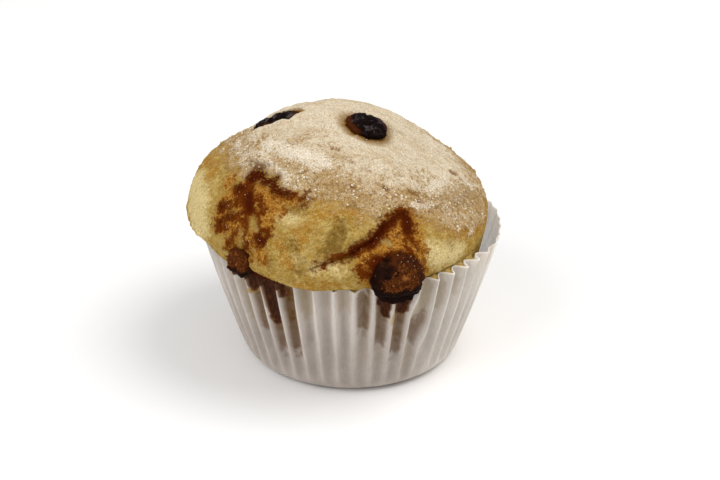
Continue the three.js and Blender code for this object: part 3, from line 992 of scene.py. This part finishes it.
class MUFFIN_OT_add_case(bpy.types.Operator):
    """Add the pleated paper case"""

    bl_idname = "muffin.add_case"
    bl_label = "Paper case"

    def execute(self, context):
        settings = context.scene.muffin_case
        foot, line = case_line(settings)
        deselect_all()
        bpy.ops.mesh.primitive_circle_add(
            vertices=PLEATS * settings.steps, radius=foot, fill_type="TRIFAN", location=(0, 0, 0)
        )
        piece = context.object
        piece.name = piece.data.name = "pleated_case"
        self.raise_wall(foot, line)
        self.fold(piece, settings)
        wall = piece.modifiers.new("paper", "SOLIDIFY")
        wall.thickness = settings.paper
        wall.offset = -1
        apply_modifiers(piece)
        self.soil(piece, settings)
        hand_over(piece, paper_material(settings), ["paper_case"])
        return {"FINISHED"}

    def raise_wall(self, foot, line):
        """Extrudes the base's edge ring by ring up to the rim."""
        with whole_mesh_edited():
            bpy.ops.mesh.select_mode(type="EDGE")
            bpy.ops.mesh.select_all(action="SELECT")
            bpy.ops.mesh.region_to_loop()
            radius, height = foot, 0.0
            for next_radius, next_height in line:
                step_up = {"value": (0, 0, next_height - height)}
                bpy.ops.mesh.extrude_region_move(TRANSFORM_OT_translate=step_up)
                growth = (next_radius / radius, next_radius / radius, 1)
                bpy.ops.transform.resize(value=growth, center_override=(0, 0, next_height))
                radius, height = next_radius, next_height
            bpy.ops.mesh.select_all(action="SELECT")
            bpy.ops.mesh.normals_make_consistent(inside=False)

    def fold(self, piece, settings):
        """Presses the inner folds in, and lets the rim and the wall waver a little."""
        points = points_of(piece)
        angle, height = azimuths(points), points[:, 2].copy()
        _, own = fold_share(angle, height)
        wave = 0.16 * MM * grain(points, 9 * MM, 2, 3) * ramp(height, 2 * MM, 20 * MM)
        radius = wall_radius(angle, height, settings) + np.minimum(wave, 0)
        wall = radii(points) > fold_radius(0, settings) - settings.corner * 1.01
        set_radii(points, np.where(wall, np.minimum(radius, radii(points)), radii(points)))
        rim = ramp(height, 0.93 * CASE_HIGH.z, CASE_HIGH.z)
        waver = 0.2 * (own - 0.5) + 0.12 * grain(points, 4 * MM, 2, 5) - 0.12
        points[:, 2] += rim * waver * MM
        set_points(piece, points)

    def soil(self, piece, settings):
        """Paints where the paper lies on the bake, painted shade towards its foot, painted light on
        its right side and inside, and where juice has stained it.
        """
        points = points_of(piece)
        angle, height = azimuths(points), points[:, 2]
        fold, own = fold_share(angle, height)
        valley = 0.1 + 0.9 * ramp(fold, 0.05, 0.65)
        paint(piece, "valley", valley)
        low = 1 - ramp(height, 8 * MM, 27 * MM)
        touch = ramp(height, 1 * MM, 6 * MM) * (0.75 + 0.5 * own)
        towards = np.stack([np.sin(np.radians(angle)), -np.cos(np.radians(angle))], axis=1)
        inside = ramp(-(normals_of(piece)[:, :2] * towards).sum(1), 0.1, 0.5)
        # Painted shade: besides the grease on the inner folds, the wall is darkened towards its
        # foot, where less light reaches.
        grease_and_low_shade = np.clip(0.75 * ramp(fold, 0.25, 0.85) * touch + 0.9 * low, 0, 1)
        paint(piece, "grease_and_low_shade", grease_and_low_shade * (1 - inside))
        # Partly painted light: the right side is paler, as paper without grease and as painted
        # light where the lamp falls from the right.
        clean = ramp(angle, 22, 50) * (1 - ramp(angle, 120, 160))
        paint(piece, "clean", clean)
        # Painted light: the inside of the standing paper on the right is painted near white for the
        # light that shines through it, and grease and tan are kept off it.
        paint(piece, "inside", inside * clean)
        crumb_behind = ramp(height, 19 * MM, 30 * MM)
        tanned = np.clip(0.6 * ramp(fold, 0.3, 0.9) * crumb_behind * (0.8 + own), 0, 1)
        paint(piece, "tanned", tanned * (1 - inside))
        paint(piece, "low", 1 - ramp(height, 11 * MM, 21 * MM))

        flat = points.copy()
        set_radii(flat, fold_radius(height, settings))
        for name, stains in (("spilt", SPILT), ("syrup", SYRUP_EDGES)):
            paint(piece, name, depth_in(flat, [wall_line(marks, settings) for marks in stains]))
        smear = depth_in(flat, [wall_line(SPILT[0], settings)])
        paint(piece, "smear", ramp(smear, -1.2, 0.0))
        self.soak(piece, points, valley)

    def soak(self, piece, points, valley):
        """Paints the stains that fill one valley between two folds each."""
        angle, height = azimuths(points), points[:, 2]
        valleys = np.floor(pleat_turns(angle, height))
        ends = grain(points, 1.6 * MM, 3, 8)
        for name, stains in (("soaked", SOAKED), ("tinted", TINTED)):
            total = np.zeros(len(points))
            for stain_angle, top, foot, strength in stains:
                here = valleys == np.floor(pleat_turns(stain_angle, (top + foot) / 2 * MM))
                rise = height / MM - 1.5 * (1 - valley) + 3.0 * ends
                along = ramp(rise, foot - 1.5, foot + 2.0) * (1 - ramp(rise, top - 0.5, top + 1.0))
                total = np.maximum(total, here * along * strength)
            paint(piece, name, total)


# ---------------------------------------------------------------------------
# Berries
# ---------------------------------------------------------------------------


def berry_space(piece):
    """A berry's points, the same as (across, up, out), and these over the berry's half size."""
    points = points_of(piece)
    low, high = points.min(0), points.max(0)
    centre = (low + high) / 2
    _, axes = np.linalg.eigh(np.cov((points - centre).T))
    out = Vector(axes[:, 0])
    if out.dot(Vector(centre) - Vector((0, 0, 30 * MM))) < 0:
        out = -out
    side = Vector((0, 0, 1)).cross(out).normalized()
    up = out.cross(side)
    local = (points - centre) @ np.array([side, up, out]).T
    return points, local, local / np.abs(local).max(0)


def wrinkle_whole_berry(piece, settings):
    """Draws the skin of a whole berry into wrinkles round a dimple."""
    points, local, unit = berry_space(piece)
    ridges = 1 - np.abs(grain(points, 2.0 * MM, 3, 12)) * 2.4
    stretched = local.copy()
    stretched[:, 0] *= 0.55
    folds = 1 - np.abs(grain(stretched, 1.3 * MM, 2, 13)) * 2.6
    rise = settings.wrinkle * (0.7 * ridges + 0.5 * folds - 0.9)
    middle = np.hypot(unit[:, 0], unit[:, 1])
    rise -= 0.35 * MM * (1 - ramp(middle, 0.1, 0.55)) * (unit[:, 2] > 0)
    push(piece, np.minimum(rise, 0.1 * MM))
    # Painted highlight: a paler bloom on the berry's outer side, partly real bloom and partly
    # glints.
    paint(piece, "bloom_and_glints", ramp(unit[:, 2], 0.0, 0.7))
    paint(piece, "stewed", ramp(middle - 0.35 * ramp(-unit[:, 1], 0.2, 0.9), 0.68, 0.9) * 0.9)
    paint(piece, "pulp", np.zeros(len(points)))
    paint(piece, "pip", np.zeros(len(points)))


def burst_berry(piece, torn):
    """Opens a berry: a rolled lip of skin round its lower side, and pulp inside.

    Torn is 0 for a berry that kept its lip and its left side, and 1 for one that lost them.
    """
    points, _, unit = berry_space(piece)
    across = np.hypot(unit[:, 0], unit[:, 1])
    front = ramp(unit[:, 2], -0.1, 0.35)
    rough = grain(points, 1.5 * MM, 4, 15)
    lower = ramp(-unit[:, 1] + 0.25 * grain(points, 3 * MM, 2, 14), 0.0, 0.5)
    lip = np.exp(-(((across - 0.8) / 0.2) ** 2)) * lower
    lip *= 1 - torn * ramp(unit[:, 0] - unit[:, 1], -0.3, 0.9)
    blob = 1 - ramp(np.hypot(unit[:, 0] + 0.45, unit[:, 1] - 0.45) + 0.25 * rough, 0.15, 0.5)
    blob *= 1 - torn
    bowl = (1 - ramp(across, 0.25, 0.7)) * (1 - blob)
    tucked = 1.5 * ramp(-unit[:, 1], 0.4, 1)
    rise = (0.25 * lip + 0.3 * blob - 0.8 * bowl - tucked) * MM * front
    rise += (0.4 * (1 - lip) + 0.25) * MM * rough
    rise -= 0.25 * MM * ramp(np.abs(unit[:, 0]), 0.6, 1)
    push(piece, rise)
    low_side = ramp(-unit[:, 1] + 0.3 * rough, 0.25 - 0.25 * torn, 0.6)
    left_side = (1 - torn) * ramp(-unit[:, 0] + 0.3 * rough, 0.55, 0.85)
    whole_skin = np.maximum(low_side, left_side)
    width = 0.85 + 0.25 * torn
    open_pulp = 1 - ramp(across + 0.35 * rough, width - 0.45, width)
    open_pulp *= (1 - blob) * (1 - lip) * (1 - whole_skin)
    paint(piece, "bloom_and_glints", np.zeros(len(points)))
    paint(piece, "pulp", open_pulp * front)
    stewed = np.clip(0.65 + 0.6 * rough, 0, 1) * (1 - lip) * (1 - 0.8 * blob)
    paint(piece, "stewed", stewed * (1 - 0.85 * whole_skin))
    pip = 1 - ramp(np.hypot(unit[:, 0] - 0.2, unit[:, 1] - 0.08) + 0.06 * rough, 0.05, 0.17)
    paint(piece, "pip", pip * front)


class MUFFIN_OT_add_berries(bpy.types.Operator):
    """Add the berries, whole and burst"""

    bl_idname = "muffin.add_berries"
    bl_label = "Berries"

    def execute(self, context):
        settings = context.scene.muffin_berries
        skin = berry_material(settings, "wrinkled berry skin", roughness=0.42)
        stewed = berry_material(settings, "burst berry", roughness=0.5)
        for part in frame["record"]["subparts"]:
            node, slot = part["node"], part["material_slot"]
            if not node.startswith("berry"):
                continue
            piece = copy_of_node(node, "fruit" + node.removeprefix("berry"))
            remesh(piece, settings.voxel, passes=4)
            if slot == "berry":
                wrinkle_whole_berry(piece, settings)
                hand_over(piece, skin, [node])
            else:
                burst_berry(piece, torn=1.0 if node == "berry_rim_left" else 0.0)
                hand_over(piece, stewed, [node])
        return {"FINISHED"}


# ---------------------------------------------------------------------------
# Bake
# ---------------------------------------------------------------------------


def gap_to(points, name, most):
    """Distance in millimetres from each point to a piece, up to a limit, and the piece's middle."""
    piece = bpy.data.objects[name]
    tree = surface(piece)
    gaps = np.full(len(points), most)
    own = points_of(piece)
    low, high = own.min(0) - most, own.max(0) + most
    for i in np.nonzero(np.all((points > low) & (points < high), axis=1))[0]:
        found = tree.find_nearest(Vector(points[i]), most)
        if found[0] is not None:
            gaps[i] = found[3]
    return gaps / MM, own.mean(0)


class MUFFIN_OT_add_bake(bpy.types.Operator):
    """Add the baked crumb and crust"""

    bl_idname = "muffin.add_bake"
    bl_label = "Bake"

    def execute(self, context):
        settings = context.scene.muffin_bake
        piece = copy_of_node("muffin", "baked_muffin")
        self.close_hollows()
        remesh(piece, settings.voxel, passes=8)
        self.thin_hidden_part(piece)
        self.fill_case(piece, settings, context.scene.muffin_case)
        dome = Dome(piece)
        self.swell(piece, dome, settings)
        self.mark(piece, dome)
        self.roughen(piece, dome, settings)
        hand_over(piece, bake_material(settings), ["muffin"])
        return {"FINISHED"}

    def close_hollows(self):
        """The crumb closes round the berries, with none of the solid part's hollows."""
        with whole_mesh_edited():
            bpy.ops.mesh.convex_hull()

    def thin_hidden_part(self, piece):
        """Keeps few faces where the paper hides the bake."""
        hidden = piece.vertex_groups.new(name="hidden")
        low = np.nonzero(points_of(piece)[:, 2] < HIDDEN_TOP)[0]
        hidden.add(low.tolist(), 1.0, "REPLACE")
        thinner = piece.modifiers.new("thin", "DECIMATE")
        thinner.ratio = 1 - 0.93 * len(low) / len(piece.data.vertices)
        thinner.vertex_group = hidden.name
        apply_modifiers(piece)
        piece.vertex_groups.clear()

    def fill_case(self, piece, settings, case):
        """Fits the bake into the folded paper, and lets its batter hang over the rim."""
        points = points_of(piece)
        angle, height, radius = azimuths(points), points[:, 2], radii(points)
        rim = CASE_HIGH.z
        low = np.clip(height, 0, rim)
        spare = case.paper + settings.clearance
        snug = wall_radius(angle, low, case) - spare
        inner = fold_radius(low, case) - fold_depth(low, case) * 1.08 - spare
        follows = ramp(height, *FOLLOWS_FOLDS) * (1 - ramp(height, 30.8 * MM, rim + 0.1 * MM))
        room = inner - 2 * spare + (snug - inner + 2 * spare) * follows
        fill = ramp(height, *FOLLOWS_FOLDS) * (1 - ramp(height, rim, rim + 3 * MM))
        fill *= 1 - ramp(angle, 50, 66) * (1 - ramp(angle, 120, 150))
        filled = radius + np.maximum(room - radius, 0) * fill
        edge = np.interp(angle, *zip(*OVER_EDGE), period=360) * MM
        leftwards = np.clip(-points[:, 0] / radius, 0, 1) ** 2
        left_paper = ramp(height, edge - 0.45 * MM, edge + 0.15 * MM)
        over_rim = CASE_HIGH.x - 0.35 * MM + 0.9 * MM * left_paper
        over_rim += np.clip(height - edge, 0, 6 * MM) * (0.45 + 0.55 * leftwards)
        limit = np.where(height < rim, room, over_rim)
        filled = np.where(height < 35.5 * MM, np.minimum(filled, limit), filled)
        set_radii(points, np.where(height > 1.5 * MM, filled, radius))
        set_points(piece, points)

    def swell(self, piece, dome, settings):
        """The dome's broad lumps and its own lobes and hollows."""
        points = points_of(piece)
        free = ramp(points[:, 2], *SWELLS)
        rise = settings.lumps * grain(points, 13 * MM, 2, 1) - 0.4 * MM
        rise += 0.35 * settings.lumps * grain(points, 4.5 * MM, 2, 2)
        for marks, height in LOBES:
            share = along_line(points, *dome.line(marks))[1]
            rise += height * MM * (1 - ramp(share, 0, 1.5))
        push(piece, rise * free)

    def mark(self, piece, dome):
        """Paints how many millimetres each place lies within the crust, the juice, the tints and
        the painted light and shade.
        """
        points = points_of(piece)
        edge = np.interp(azimuths(points), *zip(*CRUST_EDGE), period=360)
        over = points[:, 2] / MM - edge + 1.7 * grain(points, 3.2 * MM, 5, 4)
        paint(piece, "over", np.clip(over, -9, 12))
        layers = {"amber": AMBER, "brown": BROWN, "dark": DARK, "bare": BARE, "gold": GOLD}
        layers |= {"hollow_shade": SHADED_HOLLOWS, "lit": LIT, "shaded_pit": PITS, "flour_and_light": FLOUR_AND_LIGHT, "toast": TOAST}
        for name, lines in layers.items():
            paint(piece, name, depth_in(points, [dome.line(marks) for marks in lines]))

    def roughen(self, piece, dome, settings):
        """The crust's edge, torn steps, pores, flour lumps, the juice's bubbles, and painted shade
        in the creases and round the berries.
        """
        points = points_of(piece)
        over, shaded_pit, flour_and_light = (painted(piece, name) for name in ("over", "shaded_pit", "flour_and_light"))
        ragged = 0.5 * grain(points, 1.4 * MM, 3, 6)
        amber = ramp(painted(piece, "amber") + ragged, -0.4, 0.6)
        thick = np.maximum(painted(piece, "brown"), painted(piece, "dark"))
        brown = ramp(thick + ragged, -0.3, 0.5)
        wet = np.maximum(amber, brown) * (1 - ramp(painted(piece, "bare"), -0.2, 0.3))
        crust = ramp(over, -0.4, 0.5)
        crumb = (1 - crust) * (1 - wet)

        streaked = points * (0.45, 1, 0.7)
        rise = settings.crust_step * crust * (1 - wet)
        rise += settings.crumb_grain * crumb * grain(points, 1.5 * MM, 4, 7)
        rise += 0.26 * MM * crumb * grain(points, 4.0 * MM, 2, 8)
        rise += 0.15 * MM * crust * grain(points, 0.9 * MM, 3, 9)
        rise += 0.32 * MM * crust * grain(streaked, 2.2 * MM, 4, 10)
        rise += settings.juice_grain * wet * (0.8 - 1.5 * cells(points, 1.1 * MM, 5))
        rise += settings.juice_grain * wet * grain(points, 1.9 * MM, 3, 11)
        rise -= 0.18 * MM * brown
        rise -= 0.45 * MM * ramp(shaded_pit + 0.5 * ragged, -0.3, 0.3)
        rise += 0.16 * MM * ramp(flour_and_light + 1.5 * ragged, -0.5, 0.7)

        crease_shade = np.zeros(len(points))
        for marks, height, cut in FOLDS:
            _, share, side = along_line(points, *dome.line(marks))
            near = np.exp(-(share**2))
            side = side / MM + 0.25 * ragged
            rise += height * MM * near * ramp(side, -0.2, 0.2)
            slit = np.exp(-(((side + 0.15 * np.sign(height)) / 0.3) ** 2)) * near
            rise -= 0.5 * cut * MM * slit
            # Painted shade along the foot of each fold.
            crease_shade = np.maximum(crease_shade, slit * min(1.0, cut))

        for name, width, depth in HOLLOWS:
            gap, middle = gap_to(points, f"fruit_{name}", 2.5 * MM)
            rise -= depth * MM * (1 - ramp(gap, 0.1, width))
            beyond = ramp(points[:, 1] - middle[1], 0, 3 * MM)
            rise += 0.3 * MM * beyond * np.exp(-(((gap - width) / 0.6) ** 2))
            # Painted shade in the hollow round each berry.
            shade = 0.3 * (1 - ramp(gap, 0.1, 0.6)) + 0.85 * (1 - ramp(gap, 0.4, width))
            crease_shade = np.maximum(crease_shade, shade * (1 + 0.3 * ragged))
        for name, bulge in BULGES:
            gap, middle = gap_to(points, f"fruit_{name}", 3 * MM)
            above = ramp(points[:, 2], middle[2] - 1 * MM, middle[2] + 2.5 * MM)
            rise += bulge * MM * above * (1 - ramp(gap, 0, 2.6)) * (1 + 0.5 * ragged)
        paint(piece, "crease_shade", np.clip(crease_shade, 0, 1))
        push(piece, rise * ramp(points[:, 2], *ROUGHENS))


# ---------------------------------------------------------------------------
# Loose grains
# ---------------------------------------------------------------------------


def scatter(name, seed_piece, places, normals, sizes, rng):
    """One mesh of many turned and sized copies of a small piece, which is removed."""
    base = points_of(seed_piece)
    faces = [tuple(face.vertices) for face in seed_piece.data.polygons]
    points, polygons = [], []
    for place, normal, size in zip(places, normals, sizes):
        turn = Vector(rng.normal(size=3)).to_track_quat("Z", "Y")
        squash = Matrix.Diagonal(rng.uniform(0.7, 1.25, 3))
        shape = np.array(turn.to_matrix() @ squash)
        polygons += [tuple(v + len(points) * len(base) for v in face) for face in faces]
        points.append(base @ shape.T * size + place + normal * size * 0.3)
    mesh = bpy.data.meshes.new(name)
    mesh.from_pydata(np.concatenate(points).tolist(), [], polygons)
    piece = bpy.data.objects.new(name, mesh)
    bpy.context.collection.objects.link(piece)
    bpy.data.objects.remove(seed_piece)
    return piece


class MUFFIN_OT_add_grains(bpy.types.Operator):
    """Add sugar grains and loose crumbs on the crust, and pale crystals that stand in for glints on
    the juice and the right berry
    """

    bl_idname = "muffin.add_grains"
    bl_label = "Sugar and crumbs"

    def execute(self, context):
        settings = context.scene.muffin_grains
        bake = bpy.data.objects["baked_muffin"]
        rng = np.random.default_rng(settings.seed)
        points, normals = points_of(bake), normals_of(bake)
        over = painted(bake, "over")
        band = ramp(over, -0.2, 1) * (1 - ramp(over, 3, 9))
        clumps = ramp(grain(points, 5 * MM, 2, 17), -0.1, 0.5) * ramp(-normals[:, 1], -0.3, 0.4)
        juice = np.maximum(painted(bake, "amber"), painted(bake, "brown"))
        wet = ramp(juice, 0, 0.5)
        dry = 1 - ramp(juice, -2.0, -0.6)
        # Painted highlights: pale crystals on the juice and the right berry's top stand in for wet
        # glints.
        berry = bpy.data.objects["fruit_rim_right"]
        sticky = painted(berry, "stewed") * ramp(normals_of(berry)[:, 2], -0.2, 0.5)
        wet_points = np.concatenate([points, points_of(berry)])
        wet_normals = np.concatenate([normals, normals_of(berry)])

        share = dry * (band * (0.15 + clumps) + 0.015 * ramp(over, 0, 1))
        sugar = self.pick(share, settings.sugar, rng)
        share = np.concatenate([wet + 0.02 * band, 0.6 * sticky])
        glint_crystals = self.pick(share, settings.glint_crystals, rng)
        crumbs = self.pick(band**2 * (0.1 + clumps) * dry, settings.crumbs, rng)

        colours = settings.sugar_pale, settings.sugar_brown
        dull = grain_material("sugar grains", *colours, size=1 * MM, roughness=0.85)
        sizes = settings.sugar_size * rng.uniform(0.5, 1.5, settings.sugar) ** 1.3
        self.crystals("sugar_grains", points[sugar], normals[sugar], sizes, rng, dull)
        shiny = grain_material("juice glints", *colours, size=1 * MM, roughness=0.2)
        sizes = settings.glint_size * rng.uniform(0.7, 1.4, settings.glint_crystals)
        self.crystals("juice_glints", wet_points[glint_crystals], wet_normals[glint_crystals], sizes, rng, shiny)
        colours = settings.crumb_pale, settings.crumb_brown
        crust = grain_material("loose crumb", *colours, size=1.2 * MM, roughness=0.95)
        sizes = settings.crumb_size * rng.uniform(0.45, 1.2, settings.crumbs) ** 1.5
        self.crumbs(points[crumbs], normals[crumbs], sizes, rng, crust)
        return {"FINISHED"}

    def pick(self, weight, many, rng):
        return rng.choice(len(weight), many, replace=False, p=weight / weight.sum())

    def crystals(self, name, places, normals, sizes, rng, material):
        """Little blocks with cut edges."""
        deselect_all()
        bpy.ops.mesh.primitive_cube_add(size=2)
        with whole_mesh_edited():
            bpy.ops.mesh.bevel(offset=0.5, segments=1, affect="EDGES")
        piece = scatter(name, bpy.context.object, places, normals, sizes, rng)
        hand_over(piece, material)

    def crumbs(self, places, normals, sizes, rng, material):
        """Torn scraps of crust along its edge."""
        deselect_all()
        bpy.ops.mesh.primitive_ico_sphere_add(subdivisions=2, radius=1)
        seed_piece = bpy.context.object
        push(seed_piece, 0.35 * grain(points_of(seed_piece), 0.8, 2, 16))
        piece = scatter("loose_crumbs", seed_piece, places, normals, sizes, rng)
        hand_over(piece, material)


# ---------------------------------------------------------------------------
# Stage
# ---------------------------------------------------------------------------


def add_light(name, place, target_height, size, power, tint):
    bpy.ops.object.light_add(type="AREA", location=place)
    lamp = bpy.context.object
    lamp.name = lamp.data.name = name
    lamp.data.shape = "DISK"
    lamp.data.size = size
    lamp.data.energy = power
    lamp.data.color = tint
    aim = Vector((0, 0, target_height)) - Vector(place)
    lamp.rotation_euler = aim.to_track_quat("-Z", "Y").to_euler()


class MUFFIN_OT_add_stage(bpy.types.Operator):
    """Add the floor, the camera and the lights"""

    bl_idname = "muffin.add_stage"
    bl_label = "Stage"

    def execute(self, context):
        settings = context.scene.muffin_stage
        self.floor(settings)
        self.camera(context, settings)
        self.lights(context, settings)
        return {"FINISHED"}

    def floor(self, settings):
        deselect_all()
        bpy.ops.mesh.primitive_plane_add(size=6, location=(0, 0, 0))
        floor = bpy.context.object
        floor.name = floor.data.name = "floor"
        r = Recipe("pale floor")
        paler = tuple(min(1, channel * 1.02) for channel in settings.floor)
        mixed = r.mix(r.noise(0.4, 2.0), settings.floor, paler)
        floor.data.materials.append(r.finish(mixed, 0.9, Specular_IOR_Level=0.0))

    def camera(self, context, settings):
        aim = Vector((0, 0, settings.aim))
        tilt = settings.elevation
        place = aim + settings.distance * Vector((0, -math.cos(tilt), math.sin(tilt)))
        bpy.ops.object.camera_add(location=place, rotation=(math.pi / 2 - tilt, 0, 0))
        camera = bpy.context.object
        camera.data.lens = settings.lens
        camera.data.clip_start = 0.01
        camera.data.shift_x = settings.shift_x
        camera.data.shift_y = settings.shift_y
        context.scene.camera = camera

    def lights(self, context, settings):
        warm, cool = (1, 0.985, 0.96), (0.98, 0.99, 1)
        add_light("key", (0.40, -0.05, 0.76), 0.04, size=0.6, power=settings.key, tint=warm)
        add_light("fill", (-0.65, -0.50, 0.70), 0.03, size=0.8, power=settings.fill, tint=cool)
        world = bpy.data.worlds.new("studio")
        world.use_nodes = True
        backdrop = world.node_tree.nodes["Background"]
        backdrop.inputs["Color"].default_value = (1, 1, 1, 1)
        backdrop.inputs["Strength"].default_value = settings.sky
        context.scene.world = world
        context.scene.view_settings.view_transform = "Standard"


# ---------------------------------------------------------------------------
# Panel and registration
# ---------------------------------------------------------------------------

OPERATORS = (
    MUFFIN_OT_add_stage,
    MUFFIN_OT_add_case,
    MUFFIN_OT_add_berries,
    MUFFIN_OT_add_bake,
    MUFFIN_OT_add_grains,
)
SETTINGS = {
    "muffin_case": CaseSettings,
    "muffin_bake": BakeSettings,
    "muffin_berries": BerrySettings,
    "muffin_grains": GrainSettings,
    "muffin_stage": StageSettings,
}


class MUFFIN_PT_panel(bpy.types.Panel):
    """The muffin's sizes, colours and pieces"""

    bl_label = "Muffin"
    bl_space_type = "VIEW_3D"
    bl_region_type = "UI"
    bl_category = "Muffin"

    def draw(self, context):
        for operator in OPERATORS:
            self.layout.operator(operator.bl_idname)
        for name, group in SETTINGS.items():
            box = self.layout.box()
            box.label(text=group.__doc__)
            for key in group.__annotations__:
                box.prop(getattr(context.scene, name), key)


def register():
    for group in SETTINGS.values():
        bpy.utils.register_class(group)
    for name, group in SETTINGS.items():
        setattr(bpy.types.Scene, name, PointerProperty(type=group))
    for cls in (*OPERATORS, MUFFIN_PT_panel):
        bpy.utils.register_class(cls)


def unregister():
    for cls in reversed((*OPERATORS, MUFFIN_PT_panel)):
        bpy.utils.unregister_class(cls)
    for name in SETTINGS:
        delattr(bpy.types.Scene, name)
    for group in reversed(SETTINGS.values()):
        bpy.utils.unregister_class(group)


def main():
    register()
    bpy.ops.muffin.add_stage()
    bpy.ops.muffin.add_case()
    bpy.ops.muffin.add_berries()
    bpy.ops.muffin.add_bake()
    bpy.ops.muffin.add_grains()


if __name__ == "__main__":
    main()
